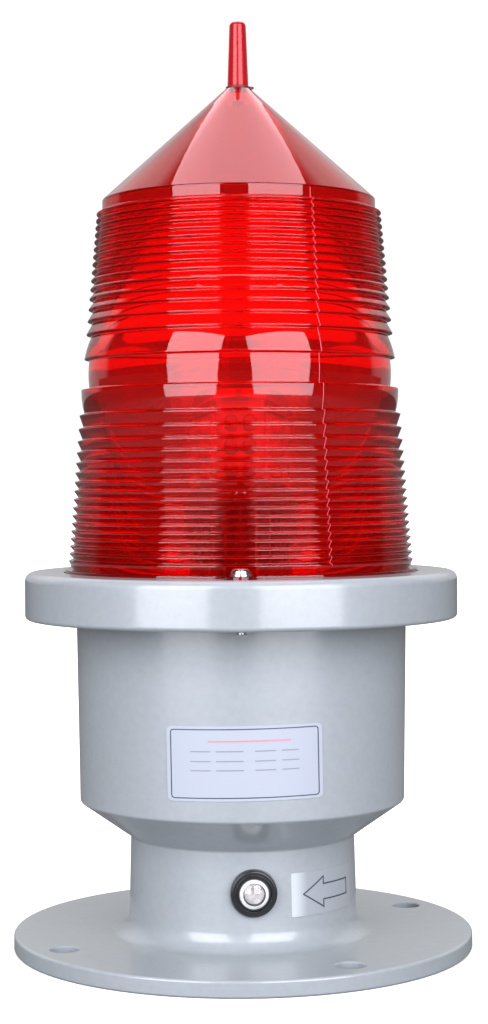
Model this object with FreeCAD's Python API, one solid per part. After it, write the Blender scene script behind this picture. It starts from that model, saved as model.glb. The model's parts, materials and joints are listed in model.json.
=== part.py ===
import FreeCAD, Part
import math
import os

from FreeCAD import Vector

# Obstruction beacon: a grey cast housing with a bolted foot, a red ribbed
# lens held by three screws, a lamp head inside it, and a daylight sensor.
# All sizes are in millimetres. The origin is the centre of the foot's
# underside, +Z points up, and the sensor and the plate face -Y.

# Foot flange
flange_radius = 110.0
flange_thickness = 8.0
flange_round = 1.3
bolt_inset = 15.0
bolt_hole_radius = 6.8
bolt_count = 4
first_bolt_angle = 30.0

# Pedestal tube, cone and bowl of the casting
tube_foot_radius = 54.9
tube_top_radius = 53.8
tube_top_height = 53.5
tube_foot_fillet = 9.0
tube_bore_radius = 49.0
bowl_base_radius = 78.0
cone_height = 17.0
bowl_top_radius = 79.3
bowl_wall = 5.0
bowl_mouth_radius = 74.5
floor_rise = 6.5
floor_thickness = 6.0
crease_round = 1.2

# Rim that carries the lens
rim_radius = 103.9
rim_height = 22.5
rim_top_height = 180.0
rim_top_round = 4.0
rim_bottom_round = 2.0
recess_depth = 2.5
recess_clearance = 0.5

# Lens
foot_radius = 84.7
foot_thickness = 2.2
foot_round = 0.5
lens_wall = 3.0
rib_depth = 2.3
rib_rise = 0.7
low_rib_radius = 82.7
foot_bore_length = 6.6
foot_bore_round = 6.0
low_rib_start = 4.34
low_rib_count = 17
low_rib_first_pitch = 6.5
low_rib_last_pitch = 3.4
low_rib_fade = 0.80
low_wide_radius = 76.3
low_wide_depth = 12.1
high_wide_radius = 74.7
high_wide_depth = 11.7
high_rib_radius = 68.5
high_rib_count = 15
high_rib_first_pitch = 6.4
high_rib_last_pitch = 3.25
high_rib_fade = 0.75
belt_radius = 72.5
belt_height = 14.6
belt_bulge = 0.6
belt_round = 40.0
bore_round = 10.0
shoulder_radius = 65.8
neck_length = 7.42
shoulder_round = 2.0
shoulder_band = 8.0
cone_slope = 41.9
apex_radius = 6.1
apex_round = 0.5

# Lens screws, their washers and the ears that they hold
screw_count = 3
first_screw_angle = -90.0
screw_circle_radius = 91.0
screw_radius = 2.5
screw_head_radius = 4.4
screw_head_height = 2.6
screw_projection = 2.4
ear_radius = 7.0
washer_radius = 5.0
washer_thickness = 1.0
gasket_thickness = 1.5

# Spike on the lens
spike_base_radius = 5.1
spike_tip_radius = 3.9
spike_tip_round = 2.2
spike_height = 31.4
spike_seal_radius = 5.9
spike_seal_thickness = 1.1
spike_seal_round = 0.3
seal_tab_radius = 1.0
seal_tab_distance = 6.6
spike_stem_radius = 3.0
spike_stem_end = 1.5
spike_nut_radius = 5.7
spike_nut_thickness = 4.0

# Chassis plate inside the bowl
chassis_depth = 32.0
chassis_thickness = 3.0
chassis_radius = 71.0
boss_count = 3
first_boss_angle = 0.0
boss_circle_radius = 65.0
boss_radius = 5.5
boss_length = 32.0
boss_taper = 11.0
boss_tip_radius = 0.5
chassis_screw_radius = 2.0
chassis_screw_length = 14.0
window_length = 28.0
window_width = 11.0
window_distance = 60.5
window_corner = 3.0

# Lamp head
post_foot_radius = 22.0
post_foot_thickness = 3.0
post_radius = 12.0
post_bore_radius = 8.5
post_height = 39.0
post_screw_circle = 17.0
post_screw_count = 3
first_post_angle = 90.0
sink_radius = 25.0
sink_height = 43.0
sink_hub_radius = 12.0
fin_count = 20
fin_thickness = 1.4
disc_radius = 30.0
disc_thickness = 8.0
core_sides = 6
first_flat_angle = -90.0
core_flat_radius = 20.0
core_height = 27.0
core_roof = 6.0
board_width = 20.0
board_height = 25.0
board_thickness = 1.6
led_radius = 3.2
led_collar = 1.4
led_rows = 3
led_row_pitch = 8.0
led_columns = 2
led_column_pitch = 9.0
cap_radius = 24.0
cap_thickness = 2.5
cap_screw_radius = 2.0
cap_head_radius = 3.8
cap_head_height = 2.4

# Small screws of the chassis, the driver and the terminal block
small_screw_radius = 1.5
small_head_radius = 2.8
small_head_height = 1.8
chassis_head_radius = 4.0
chassis_head_height = 2.6

# Driver box under the chassis plate
driver_length = 92.0
driver_width = 62.0
driver_depth = 42.0
driver_sheet = 1.2
driver_ear = 9.0
driver_screw_spacing = 44.0
driver_standoff = 5.0
driver_board_margin = 2.0
driver_board_thickness = 1.6
standoff_radius = 2.5
standoff_inset = 5.0
transformer_size = 26.0
transformer_height = 19.5
transformer_x = -20.0
transformer_yoke = 5.0
transformer_leg = 4.0
coil_overhang = 3.0
coil_gap = 0.5
capacitor_radius = 6.0
capacitor_height = 22.0
capacitor_count = 2
first_capacitor_x = 12.0
capacitor_pitch = 16.0
capacitor_y = 4.0

# Terminal block on the chassis plate
terminal_length = 34.0
terminal_width = 15.0
terminal_height = 17.0
terminal_distance = 44.0
terminal_poles = 3
terminal_pole_pitch = 10.0
terminal_entry_radius = 2.4
terminal_entry_height = 5.0
terminal_screw_radius = 2.2
terminal_screw_inset = 4.0
terminal_well_depth = 7.0
terminal_slot_half = 0.4
terminal_slot_depth = 1.0
terminal_screw_length = 5.0
terminal_head_radius = 2.2
terminal_head_height = 1.4

# Leads
lead_radius = 0.9
lead_bend = 5.0
lead_pair_spacing = 6.0
lead_slot_width = 6.0
supply_lead_offset = 12.0
supply_lead_bend = 4.0

# Cable gland in the floor of the bowl
gland_thread_radius = 10.0
gland_bore_radius = 6.6
gland_seal_bore = 4.75
gland_flats = 24.0
gland_hex_height = 5.0
gland_collar_radius = 9.4
gland_collar_length = 10.0
gland_seal_length = 9.0
gland_cap_wall = 2.2
gland_cap_gap = 0.5
gland_nose = 5.0
gland_nut_height = 5.0
gland_stub = 8.0

# Grommet that leads the sensor's wires through the floor
grommet_distance = 26.0
grommet_hole_radius = 4.5
grommet_lip = 1.8
grommet_lip_height = 1.5
grommet_bore_radius = 2.4

# Daylight sensor in the pedestal tube
sensor_angle = -84.8
sensor_height = 34.6
sensor_hole_radius = 9.0
sensor_flange_radius = 10.7
sensor_flange_thickness = 4.2
sensor_spot_face = 53.1
sensor_spot_margin = 0.4
sensor_bush_end = 36.0
sensor_bush_bore = 7.9
sensor_body_end = 33.0
sensor_rim_bore = 6.5
sensor_rim_depth = 1.9
sensor_dome_height = 4.6
sensor_glass = 0.8
sensor_nut_flats = 23.0
sensor_nut_thickness = 4.0
sensor_cell_radius = 4.4
sensor_cell_height = 1.2
sensor_dome_straight = 1.6
sensor_lead_spacing = 2.4

# Labels
plate_width = 70.0
plate_height = 33.6
plate_corner = 4.0
plate_centre_height = 97.2
plate_turn = 1.0
label_width = 40.0
label_height = 20.0
label_centre_height = 32.6
label_turn = 45.7
label_corner = 0.4
label_thickness = 0.3

# Earthing screw on the bowl's floor
earth_distance = 34.0
earth_angle = 150.0
earth_screw_radius = 2.5
earth_head_radius = 4.6
earth_head_height = 3.0
earth_washer_radius = 6.0
earth_washer_thickness = 1.0
earth_screw_depth = 5.0

# Clearances
running_gap = 0.05
hole_gap = 0.25
skin_gap = 0.05


def rib_run(count, first_pitch, last_pitch, fade):
    """Height from the first to the last tip of a run of ribs whose pitch fades."""
    height = 0
    pitch = first_pitch
    for index in range(count - 1):
        height = height + pitch
        pitch = last_pitch + (pitch - last_pitch) * fade
    return height


# Places worked out from the sizes above
bolt_circle_radius = flange_radius - bolt_inset
bowl_base_height = tube_top_height + cone_height
floor_top = tube_top_height + floor_rise
floor_underside = floor_top - floor_thickness
rim_bottom_height = rim_top_height - rim_height
seat_height = rim_top_height - recess_depth
foot_underside = seat_height + gasket_thickness
foot_top = foot_underside + foot_thickness
screw_seat = foot_top + washer_thickness
chassis_height = rim_top_height - chassis_depth
chassis_top = chassis_height + chassis_thickness
sink_bottom = chassis_top + post_height
disc_bottom = sink_bottom + sink_height
core_bottom = disc_bottom + disc_thickness
core_top = core_bottom + core_height
cap_top = core_top + cap_thickness
low_rib_run = rib_run(low_rib_count, low_rib_first_pitch, low_rib_last_pitch, low_rib_fade)
low_wide_height = foot_top + low_rib_start + low_rib_run + low_wide_depth
high_wide_height = low_wide_height + belt_height
high_rib_run = rib_run(high_rib_count, high_rib_first_pitch, high_rib_last_pitch, high_rib_fade)
shoulder_height = high_wide_height + high_wide_depth + high_rib_run + neck_length
cone_rise = math.tan(math.radians(cone_slope))
apex_height = shoulder_height + (shoulder_radius - apex_radius) * cone_rise
lens_ceiling = apex_height - lens_wall / math.cos(math.radians(cone_slope))
spike_foot = apex_height + spike_seal_thickness
gland_collar_end = floor_underside - gland_hex_height - gland_collar_length
driver_top = chassis_height
driver_bottom = driver_top - driver_depth
supply_lead_y = -terminal_distance + terminal_width / 2 + supply_lead_offset


def outline(corners):
    """Closed face in the XZ plane from (radius, height, rounding) corners."""
    places = [Vector(radius, 0, height) for radius, height, rounding in corners]
    count = len(corners)
    starts = []
    arcs = []
    ends = []
    for index in range(count):
        here = places[index]
        rounding = corners[index][2]
        if rounding <= 0:
            starts.append(here)
            ends.append(here)
            arcs.append(None)
            continue
        back = (places[index - 1] - here).normalize()
        ahead = (places[(index + 1) % count] - here).normalize()
        half = back.getAngle(ahead) / 2
        reach = rounding / math.tan(half)
        start = here + back * reach
        end = here + ahead * reach
        towards = (back + ahead).normalize()
        middle = here + towards * (rounding / math.sin(half) - rounding)
        starts.append(start)
        ends.append(end)
        arcs.append(Part.Arc(start, middle, end).toShape())
    edges = []
    for index in range(count):
        if arcs[index] is not None:
            edges.append(arcs[index])
        following = starts[(index + 1) % count]
        if (following - ends[index]).Length > 1e-6:
            edges.append(Part.makeLine(ends[index], following))
    return Part.Face(Part.Wire(edges))


def spun(corners):
    """Solid of revolution about Z."""
    return outline(corners).revolve(Vector(0, 0, 0), Vector(0, 0, 1), 360)


def rod(radius, bottom, top, x=0.0, y=0.0):
    """Upright cylinder between two heights."""
    return Part.makeCylinder(radius, top - bottom, Vector(x, y, bottom))


def ring(outer, inner, bottom, top, x=0.0, y=0.0):
    """Upright tube between two heights."""
    return rod(outer, bottom, top, x, y).cut(rod(inner, bottom - 1, top + 1, x, y))


def block(low, high):
    """Box from its lowest to its highest corner."""
    size = [high[axis] - low[axis] for axis in range(3)]
    return Part.makeBox(size[0], size[1], size[2], Vector(*low))


def prism(sides, flat_radius, bottom, top):
    """Upright regular prism, given the distance from its axis to a flat."""
    corner_radius = flat_radius / math.cos(math.pi / sides)
    corners = []
    for index in range(sides + 1):
        angle = 2 * math.pi * (index + 0.5) / sides
        corners.append(Vector(corner_radius * math.cos(angle), corner_radius * math.sin(angle), bottom))
    return Part.Face(Part.makePolygon(corners)).extrude(Vector(0, 0, top - bottom))


def turned(shape, angle):
    """Copy of a shape turned about Z by an angle in degrees."""
    copy = shape.copy()
    copy.rotate(Vector(0, 0, 0), Vector(0, 0, 1), angle)
    return copy


def around(shape, count, first_angle):
    """Copies of a shape that lies on +X, evenly spaced about Z."""
    return [turned(shape, first_angle + 360.0 * index / count) for index in range(count)]


def facing_out(shape, angle, height):
    """Lay down a shape built along +Z, so that +Z points away from the axis at an angle."""
    copy = shape.copy()
    copy.rotate(Vector(0, 0, 0), Vector(0, 1, 0), 90)
    copy.translate(Vector(0, 0, height))
    return turned(copy, angle)


def pan_head(radius, height, seat, x=0.0, y=0.0):
    """Domed screw head with a cross recess, standing on its seat."""
    head = spun([(0, seat, 0), (radius, seat, 0), (radius, seat + height, height * 0.55),
                 (0, seat + height, 0)])
    arm = radius * 0.62
    slot = radius * 0.17
    depth = height * 0.45
    top = seat + height
    for half_x, half_y in ((arm, slot), (slot, arm)):
        head = head.cut(block((-half_x, -half_y, top - depth), (half_x, half_y, top + 1)))
    head.translate(Vector(x, y, 0))
    return head


def pan_screw(shank_radius, length, head_radius, head_height, seat, x=0.0, y=0.0):
    """Pan-head screw whose shank points down from its seat."""
    shank = rod(shank_radius, seat - length, seat + 0.2, x, y)
    return pan_head(head_radius, head_height, seat, x, y).fuse(shank).removeSplitter()


def upside_down(shape, height):
    """Copy of a shape turned over about the X line at a height."""
    copy = shape.copy()
    copy.rotate(Vector(0, 0, height), Vector(1, 0, 0), 180)
    return copy


def tube_radius_at(height):
    """Outer radius of the drafted pedestal tube."""
    share = (tube_top_height - height) / (tube_top_height - flange_thickness)
    return tube_top_radius + (tube_foot_radius - tube_top_radius) * share


def bowl_radius_at(height):
    """Outer radius of the drafted bowl."""
    share = (height - bowl_base_height) / (rim_bottom_height - bowl_base_height)
    return bowl_base_radius + (bowl_top_radius - bowl_base_radius) * share


def housing_outside():
    return spun([(0, 0, 0),
                 (flange_radius, 0, flange_round),
                 (flange_radius, flange_thickness, flange_round),
                 (tube_foot_radius, flange_thickness, tube_foot_fillet),
                 (tube_top_radius, tube_top_height, crease_round),
                 (bowl_base_radius, bowl_base_height, crease_round),
                 (bowl_top_radius, rim_bottom_height, crease_round),
                 (rim_radius, rim_bottom_height, rim_bottom_round),
                 (rim_radius, rim_top_height, rim_top_round),
                 (0, rim_top_height, 0)])


def bowl_inside():
    """Space inside the bowl: a flat floor, a cone with the wall's thickness, and the side."""
    run = bowl_base_radius - tube_top_radius
    rise = bowl_base_height - tube_top_height
    length = math.hypot(run, rise)
    line_radius = tube_top_radius - bowl_wall * rise / length
    line_height = tube_top_height + bowl_wall * run / length
    floor_radius = line_radius + (floor_top - line_height) * run / rise
    side_radius = bowl_base_radius - bowl_wall
    side_height = line_height + (side_radius - line_radius) * rise / run
    return spun([(0, floor_top, 0),
                 (floor_radius, floor_top, bowl_wall),
                 (side_radius, side_height, bowl_wall),
                 (bowl_mouth_radius, rim_bottom_height, 0),
                 (bowl_mouth_radius, rim_top_height + 1, 0),
                 (0, rim_top_height + 1, 0)])


def ear_shape(radius, bottom, top):
    """Rounded ear around one lens screw, on +X, joined towards the axis."""
    tip = rod(radius, bottom, top, screw_circle_radius)
    neck = block((bowl_mouth_radius + 4, -radius, bottom), (screw_circle_radius, radius, top))
    return tip.fuse(neck)


def with_ears(body, radius, bottom, top):
    for ear in around(ear_shape(radius, bottom, top), screw_count, first_screw_angle):
        body = body.fuse(ear)
    return body


def without_screw_holes(body, radius, bottom, top):
    for hole in around(rod(radius, bottom, top, screw_circle_radius), screw_count, first_screw_angle):
        body = body.cut(hole)
    return body


def sensor_hole():
    """Hole and flat spot face for the daylight sensor."""
    inside = tube_bore_radius - sensor_hole_radius
    hole = Part.makeCylinder(sensor_hole_radius + hole_gap, tube_foot_radius - inside, Vector(0, 0, inside))
    face = Part.makeCylinder(sensor_flange_radius + sensor_spot_margin, sensor_flange_radius,
                             Vector(0, 0, sensor_spot_face))
    return facing_out(hole.fuse(face), sensor_angle, sensor_height)


def chassis_boss():
    """Boss on the bowl's wall, on +X, with a web that ties it to the wall."""
    bottom = chassis_height - boss_length
    boss = rod(boss_radius, bottom, chassis_height, boss_circle_radius)
    web = block((boss_circle_radius, -boss_radius, bottom),
                (bowl_mouth_radius + 1, boss_radius, chassis_height))
    foot = Part.makeCone(boss_tip_radius, boss_radius, boss_taper,
                         Vector(boss_circle_radius, 0, bottom - boss_taper))
    screw_hole = rod(chassis_screw_radius + running_gap, chassis_height - chassis_screw_length - 2,
                     chassis_height + 1, boss_circle_radius)
    return boss.fuse(web).fuse(foot).cut(screw_hole)


def housing_casting():
    body = housing_outside().cut(bowl_inside())
    body = body.cut(rod(tube_bore_radius, -1, floor_underside))
    for boss in around(chassis_boss(), boss_count, first_boss_angle):
        body = body.fuse(boss)
    recess = rod(foot_radius + recess_clearance, seat_height, rim_top_height + 1)
    recess = with_ears(recess, ear_radius + recess_clearance, seat_height, rim_top_height + 1)
    body = body.cut(recess)
    body = without_screw_holes(body, screw_radius + running_gap, rim_bottom_height - 1, rim_top_height + 1)
    for hole in around(rod(bolt_hole_radius, -1, flange_thickness + 1, bolt_circle_radius),
                       bolt_count, first_bolt_angle):
        body = body.cut(hole)
    body = body.cut(sensor_hole())
    body = body.cut(rod(gland_thread_radius + hole_gap, floor_underside - 1, floor_top + 1))
    body = body.cut(turned(rod(grommet_hole_radius, floor_underside - 1, floor_top + 1, grommet_distance),
                           sensor_angle))
    body = body.cut(turned(rod(earth_screw_radius + running_gap, floor_top - earth_screw_depth,
                               floor_top + 1, earth_distance), earth_angle))
    return body.removeSplitter()


def lens_gasket():
    body = rod(foot_radius, seat_height, foot_underside)
    body = with_ears(body, ear_radius, seat_height, foot_underside)
    body = body.cut(rod(bowl_mouth_radius, seat_height - 1, foot_underside + 1))
    body = without_screw_holes(body, screw_radius + hole_gap, seat_height - 1, foot_underside + 1)
    return body.removeSplitter()


def rib_tips(first, count, first_pitch, last_pitch, fade, direction):
    """Heights of rib tips, with a pitch that shrinks away from the belt."""
    heights = [first]
    pitch = first_pitch
    for index in range(count - 1):
        heights.append(heights[-1] + direction * pitch)
        pitch = last_pitch + (pitch - last_pitch) * fade
    return heights


def lower_ribs():
    """Corners from the foot up to the belt: each rib has a flat top and a slanting underside."""
    tips = rib_tips(low_wide_height - low_wide_depth, low_rib_count, low_rib_first_pitch,
                    low_rib_last_pitch, low_rib_fade, -1)
    slope = (low_rib_radius - low_wide_radius) / (low_wide_height - tips[-1])
    tips = [low_wide_height] + tips
    corners = []
    for height in reversed(tips):
        radius = low_wide_radius + (low_wide_height - height) * slope
        corners.append((radius, height, 0))
        corners.append((radius - rib_depth, height + rib_rise, 0))
    root = low_rib_radius - rib_depth
    start = [(root + rib_depth / 2, foot_top, 0), (root, foot_top + rib_rise, 0)]
    return start + corners[:-1] + [(belt_radius, low_wide_height + rib_rise, 0)]


def upper_ribs():
    """Corners from the belt up to the shoulder: each rib has a flat underside and a slanting top."""
    tips = rib_tips(high_wide_height + high_wide_depth, high_rib_count, high_rib_first_pitch,
                    high_rib_last_pitch, high_rib_fade, 1)
    slope = (high_wide_radius - high_rib_radius) / (tips[-1] - high_wide_height)
    corners = [(belt_radius, high_wide_height - rib_rise, 0), (high_wide_radius, high_wide_height, 0)]
    for height in tips:
        radius = high_wide_radius - (height - high_wide_height) * slope
        corners.append((radius - rib_depth, height - rib_rise, 0))
        corners.append((radius, height, 0))
    corners.append((shoulder_radius, tips[-1] + high_rib_last_pitch - rib_rise, 0))
    return corners


def lens_outside():
    """Outline of the lens from its foot, over ribs and belt, to the apex."""
    return ([(0, foot_underside, 0), (foot_radius, foot_underside, foot_round),
             (foot_radius, foot_top, foot_round)]
            + lower_ribs()
            + [(belt_radius + belt_bulge, (low_wide_height + high_wide_height) / 2, belt_round)]
            + upper_ribs()
            + [(shoulder_radius, shoulder_height, shoulder_round),
               (apex_radius, apex_height, apex_round),
               (0, apex_height, 0)])


def lens_inside():
    """Smooth space inside the lens, one wall inside the rib roots."""
    foot_bore = low_rib_radius - rib_depth - lens_wall
    belt_bore = belt_radius - lens_wall
    shoulder_bore = shoulder_radius - lens_wall
    bore_shoulder = lens_ceiling - (shoulder_bore - apex_radius) * cone_rise
    return spun([(0, foot_underside - 1, 0),
                 (foot_bore, foot_underside - 1, 0),
                 (foot_bore, foot_underside + foot_bore_length, foot_bore_round),
                 (belt_bore, low_wide_height, bore_round),
                 (belt_bore, high_wide_height, bore_round),
                 (shoulder_bore, shoulder_height - shoulder_band, foot_bore_round),
                 (shoulder_bore, bore_shoulder, shoulder_round),
                 (apex_radius, lens_ceiling, 0),
                 (0, lens_ceiling, 0)])


def lens_dome():
    body = spun(lens_outside()).cut(lens_inside())
    ears = ear_shape(ear_radius, foot_underside, foot_top)
    for ear in around(ears, screw_count, first_screw_angle):
        body = body.fuse(ear.cut(rod(foot_radius - 2, foot_underside - 1, foot_top + 1)))
    body = without_screw_holes(body, screw_radius + hole_gap, foot_underside - 1, foot_top + 1)
    body = body.cut(rod(spike_stem_radius + running_gap, lens_ceiling - 1, apex_height + 1))
    return body.removeSplitter()


def spike():
    top = spike_foot + spike_height
    stem_end = lens_ceiling - spike_nut_thickness - spike_stem_end
    return spun([(0, stem_end, 0),
                 (spike_stem_radius, stem_end, 0.5),
                 (spike_stem_radius, spike_foot, 0),
                 (spike_base_radius, spike_foot, 0.4),
                 (spike_tip_radius, top, spike_tip_round),
                 (0, top, 0)])


def spike_seal():
    """Thin ring under the spike, with a small round tab at its side."""
    body = spun([(0, apex_height, 0), (spike_seal_radius, apex_height, spike_seal_round),
                 (spike_seal_radius, spike_foot, spike_seal_round), (0, spike_foot, 0)])
    arm = block((spike_stem_radius, -seal_tab_radius, apex_height),
                (seal_tab_distance, seal_tab_radius, spike_foot))
    tab = rod(seal_tab_radius, apex_height, spike_foot, seal_tab_distance)
    body = body.fuse(arm).fuse(tab)
    return body.cut(rod(spike_stem_radius + running_gap, apex_height - 1, spike_foot + 1)).removeSplitter()


def spike_nut():
    top = lens_ceiling
    bottom = top - spike_nut_thickness
    nut = prism(6, spike_nut_radius * math.cos(math.pi / 6), bottom, top)
    return nut.cut(rod(spike_stem_radius + running_gap, bottom - 1, top + 1))


def flat_washer(angle):
    washer = ring(washer_radius, screw_radius + hole_gap, foot_top, screw_seat, screw_circle_radius)
    return turned(washer, angle)


def lens_screw(angle):
    length = screw_seat - (rim_bottom_height - screw_projection)
    screw = pan_screw(screw_radius, length, screw_head_radius, screw_head_height, screw_seat,
                      screw_circle_radius)
    return turned(screw, angle)


def post_screws():
    seat = chassis_top + post_foot_thickness
    length = post_foot_thickness + chassis_thickness - skin_gap
    screw = pan_screw(small_screw_radius, length, small_head_radius, small_head_height, seat,
                      post_screw_circle)
    return Part.makeCompound(around(screw, post_screw_count, first_post_angle))


def driver_hole_places():
    """Where the driver's four screws stand, as (x, y)."""
    x = driver_length / 2 + driver_ear / 2
    y = driver_screw_spacing / 2
    return [(x, y), (x, -y), (-x, y), (-x, -y)]


def cable_window():
    """Window in the chassis plate, in front of the terminal block, for the supply cable."""
    window = block((-window_length / 2, -window_distance - window_width / 2, chassis_height - 1),
                   (window_length / 2, -window_distance + window_width / 2, chassis_top + 1))
    upright = [edge for edge in window.Edges if abs(edge.Vertexes[0].Z - edge.Vertexes[1].Z) > 1e-6]
    return window.makeFillet(window_corner, upright)


def chassis_plate():
    body = rod(chassis_radius, chassis_height, chassis_top)
    body = body.cut(cable_window())
    body = body.cut(rod(post_bore_radius, chassis_height - 1, chassis_top + 1))
    for hole in around(rod(chassis_screw_radius + hole_gap, chassis_height - 1, chassis_top + 1,
                           boss_circle_radius), boss_count, first_boss_angle):
        body = body.cut(hole)
    threaded = small_screw_radius + running_gap
    for hole in around(rod(threaded, chassis_height - 1, chassis_top + 1, post_screw_circle),
                       post_screw_count, first_post_angle):
        body = body.cut(hole)
    for x, y in driver_hole_places() + terminal_hole_places():
        body = body.cut(rod(threaded, chassis_height - 1, chassis_top + 1, x, y))
    return body.cut(supply_slot(chassis_height - 1, chassis_top + 1))


def chassis_screws():
    screw = pan_screw(chassis_screw_radius, chassis_screw_length, chassis_head_radius,
                      chassis_head_height, chassis_top, boss_circle_radius)
    return Part.makeCompound(around(screw, boss_count, first_boss_angle))


def led_post():
    outside = spun([(0, chassis_top, 0),
                    (post_foot_radius, chassis_top, 0),
                    (post_foot_radius, chassis_top + post_foot_thickness, 0.8),
                    (post_radius, chassis_top + post_foot_thickness, 1.5),
                    (post_radius, sink_bottom, 0),
                    (0, sink_bottom, 0)])
    body = outside.cut(rod(post_bore_radius, chassis_top - 1, sink_bottom + 1))
    for hole in around(rod(small_screw_radius + hole_gap, chassis_top - 1,
                           chassis_top + post_foot_thickness + 1, post_screw_circle),
                       post_screw_count, first_post_angle):
        body = body.cut(hole)
    return body


def heat_sink():
    body = rod(sink_hub_radius, sink_bottom, disc_bottom)
    fin = block((sink_hub_radius - 1, -fin_thickness / 2, sink_bottom),
                (sink_radius, fin_thickness / 2, disc_bottom))
    body = body.multiFuse(around(fin, fin_count, 0))
    return body.cut(rod(post_bore_radius, sink_bottom - 1, disc_bottom + 1)).removeSplitter()


def led_disc():
    outside = spun([(0, disc_bottom, 0), (disc_radius, disc_bottom, 0.8),
                    (disc_radius, core_bottom, 0.8), (0, core_bottom, 0)])
    return outside.cut(rod(post_bore_radius, disc_bottom - 1, core_bottom + 1))


def led_core():
    body = turned(prism(core_sides, core_flat_radius, core_bottom, core_top), first_flat_angle)
    body = body.cut(rod(post_bore_radius, core_bottom - 1, core_top - core_roof))
    return body.cut(rod(cap_screw_radius + running_gap, core_top - core_roof - 1, core_top + 1))


def board_angle(index):
    """Direction of the core's flat that carries this board."""
    return first_flat_angle + 360.0 * index / core_sides


def led_board(index):
    middle = (core_bottom + core_top) / 2
    board = block((core_flat_radius, -board_width / 2, middle - board_height / 2),
                  (core_flat_radius + board_thickness, board_width / 2, middle + board_height / 2))
    return turned(board, board_angle(index))


def led_lenses(index):
    """Clear domes of one board, each on a short collar."""
    middle = (core_bottom + core_top) / 2
    dome = spun([(0, 0, 0), (led_radius, 0, 0), (led_radius, led_collar, 0), (0, led_collar, 0)])
    cap = Part.makeSphere(led_radius, Vector(0, 0, led_collar), Vector(0, 0, 1), 0, 90, 360)
    dome = dome.fuse(cap).removeSplitter()
    dome.rotate(Vector(0, 0, 0), Vector(0, 1, 0), 90)
    domes = []
    for row in range(led_rows):
        for column in range(led_columns):
            copy = dome.copy()
            copy.translate(Vector(core_flat_radius + board_thickness,
                                  (column - (led_columns - 1) / 2) * led_column_pitch,
                                  middle + (row - (led_rows - 1) / 2) * led_row_pitch))
            domes.append(turned(copy, board_angle(index)))
    return Part.makeCompound(domes)


def led_cap():
    outside = spun([(0, core_top, 0), (cap_radius, core_top, 0.5),
                    (cap_radius, cap_top, 0.8), (0, cap_top, 0)])
    return outside.cut(rod(cap_screw_radius + hole_gap, core_top - 1, cap_top + 1))


def cap_screw():
    length = cap_thickness + core_roof - 1
    return pan_screw(cap_screw_radius, length, cap_head_radius, cap_head_height, cap_top)


def driver_case():
    """Folded tray with two ears that reach under the chassis plate."""
    top = driver_top - driver_sheet
    half_x = driver_length / 2
    half_y = driver_width / 2
    sheet = driver_sheet
    tray = block((-half_x, -half_y, driver_bottom), (half_x, half_y, top))
    ears = block((-half_x - driver_ear, -half_y, top - sheet), (half_x + driver_ear, half_y, top))
    tray = tray.fuse(ears)
    tray = tray.cut(block((-half_x + sheet, -half_y + sheet, driver_bottom + sheet),
                          (half_x - sheet, half_y - sheet, top + 1)))
    for x, y in driver_hole_places():
        tray = tray.cut(rod(small_screw_radius + hole_gap, top - sheet - 1, top + 1, x, y))
    lead_hole = turned(rod(grommet_bore_radius, driver_bottom - 1, driver_bottom + sheet + 1,
                           grommet_distance), sensor_angle)
    return tray.cut(lead_hole).removeSplitter()


def supply_slot(bottom, top):
    """Slot through which the supply leads pass down into the driver."""
    half_x = terminal_pole_pitch * (terminal_poles - 1) / 2 + lead_slot_width / 2
    return block((-half_x, supply_lead_y - lead_slot_width / 2, bottom),
                 (half_x, supply_lead_y + lead_slot_width / 2, top))


def driver_lid():
    half_x = driver_length / 2 + driver_ear
    half_y = driver_width / 2
    lid = block((-half_x, -half_y, driver_top - driver_sheet), (half_x, half_y, driver_top))
    lid = lid.cut(rod(post_bore_radius, driver_top - driver_sheet - 1, driver_top + 1))
    lid = lid.cut(supply_slot(driver_top - driver_sheet - 1, driver_top + 1))
    screw_hole_radius = small_screw_radius + hole_gap
    for x, y in driver_hole_places():
        lid = lid.cut(rod(screw_hole_radius, driver_top - driver_sheet - 1, driver_top + 1, x, y))
    return lid


def driver_board():
    """Circuit board on four standoffs in the tray."""
    bottom = driver_bottom + driver_sheet + driver_standoff
    half_x = driver_length / 2 - driver_sheet - driver_board_margin
    half_y = driver_width / 2 - driver_sheet - driver_board_margin
    board = block((-half_x, -half_y, bottom), (half_x, half_y, bottom + driver_board_thickness))
    for side in (-1, 1):
        for end in (-1, 1):
            board = board.fuse(rod(standoff_radius, driver_bottom + driver_sheet, bottom,
                                   end * (half_x - standoff_inset), side * (half_y - standoff_inset)))
    return board.removeSplitter()


def board_face():
    """Height of the driver board's upper face."""
    return driver_bottom + driver_sheet + driver_standoff + driver_board_thickness


def driver_transformer():
    """Core and coil of the supply transformer."""
    half = transformer_size / 2
    bottom = board_face()
    low = bottom + transformer_yoke
    high = bottom + transformer_height - transformer_yoke
    window_half = half - transformer_yoke
    coil_half = window_half - coil_gap
    core = block((-half, -half, bottom), (half, half, bottom + transformer_height))
    window = block((-window_half, -half - 1, low), (window_half, half + 1, high))
    leg = block((-transformer_leg / 2, -half, low), (transformer_leg / 2, half, high))
    coil = block((-coil_half, -half - coil_overhang, low + coil_gap),
                 (coil_half, half + coil_overhang, high - coil_gap))
    whole = core.cut(window).fuse(leg).fuse(coil).removeSplitter()
    whole.translate(Vector(transformer_x, 0, 0))
    return whole


def driver_capacitors():
    """Cans in a row on the driver's board."""
    bottom = board_face()
    cans = []
    for index in range(capacitor_count):
        can = spun([(0, bottom, 0), (capacitor_radius, bottom, 0.6),
                    (capacitor_radius, bottom + capacitor_height, 0.8), (0, bottom + capacitor_height, 0)])
        can.translate(Vector(first_capacitor_x + capacitor_pitch * index, capacitor_y, 0))
        cans.append(can)
    return Part.makeCompound(cans)


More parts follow.
